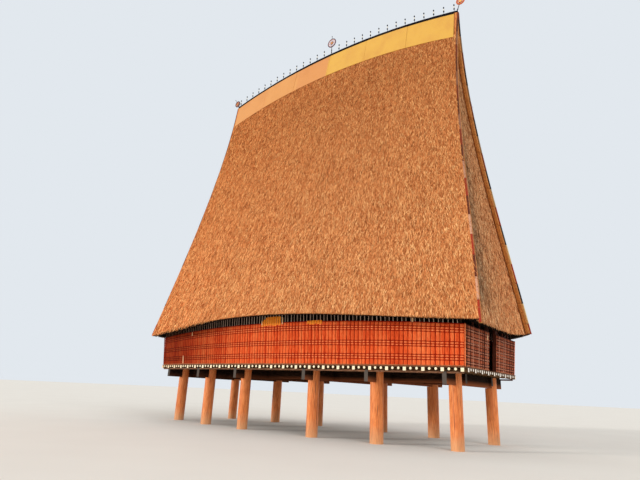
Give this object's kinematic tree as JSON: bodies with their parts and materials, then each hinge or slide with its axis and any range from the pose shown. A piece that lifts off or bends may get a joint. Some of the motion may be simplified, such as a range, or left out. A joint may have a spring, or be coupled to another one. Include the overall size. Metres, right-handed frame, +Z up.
{
  "type": "stilt house",
  "caption": "Communal house on round posts with woven leaning walls, an open under-floor and a very tall hollow-curved thatched roof with a bowed eave and ridge.",
  "frame": {"origin": "on the ground under the middle of the house", "axes": "+Z up, X along the ridge, -Y towards the pictured long side"},
  "size_m": [18.546, 9.319, 22.582],
  "materials": {
    "post_timber": "varnished round timber with lengthwise grain and checks",
    "beam_timber": "dark weathered timber",
    "joist_paint": "dark timber, the projecting ends painted white",
    "deck_timber": "split bamboo deck",
    "woven_wall": "flat vertical slats painted orange red, bound with cross lines",
    "stud_timber": "dark poles",
    "thatch_slope": "grass thatch, golden brown with dark flecks",
    "thatch_end": "grass thatch, greyer on the steep ends",
    "verge_paint": "board painted in red, black and yellow lengths",
    "ridge_panel": "smooth woven mat panel, yellow to orange",
    "ridge_timber": "dark pole",
    "finial_paint": "dark painted spikes with beads",
    "disc_paint": "painted ring, hub and rays"
  },
  "bodies": {
    "root": {"post_front_1": "post_timber", "post_front_2": "post_timber", "post_front_3": "post_timber", "post_front_4": "post_timber", "post_front_5": "post_timber", "post_front_6": "post_timber", "post_back_1": "post_timber", "post_back_2": "post_timber", "post_back_3": "post_timber", "post_back_4": "post_timber", "post_back_5": "post_timber", "post_back_6": "post_timber", "cross_beams": "beam_timber", "floor_beam_front": "beam_timber", "floor_beam_back": "beam_timber", "edge_beam_front": "beam_timber", "edge_beam_back": "beam_timber", "floor_joists": "joist_paint", "floor_poles": "joist_paint", "end_joists": "joist_paint", "floor_deck": "deck_timber", "front_wall": "woven_wall", "back_wall": "woven_wall", "right_wall_front": "woven_wall", "right_wall_back": "woven_wall", "left_wall_front": "woven_wall", "left_wall_back": "woven_wall", "wall_studs_front": "stud_timber", "wall_studs_back": "stud_timber", "end_studs": "stud_timber", "thatch_front": "thatch_slope", "thatch_back": "thatch_slope", "thatch_left": "thatch_end", "thatch_right": "thatch_end", "verge_front_left": "verge_paint", "verge_front_right": "verge_paint", "verge_back_left": "verge_paint", "verge_back_right": "verge_paint", "ridge_panel_front": "ridge_panel", "ridge_panel_back": "ridge_panel", "ridge_pole": "ridge_timber", "ridge_finials": "finial_paint", "sun_disc_middle": "disc_paint", "sun_disc_left": "disc_paint", "sun_disc_right": "disc_paint"}
  },
  "joints": []
}
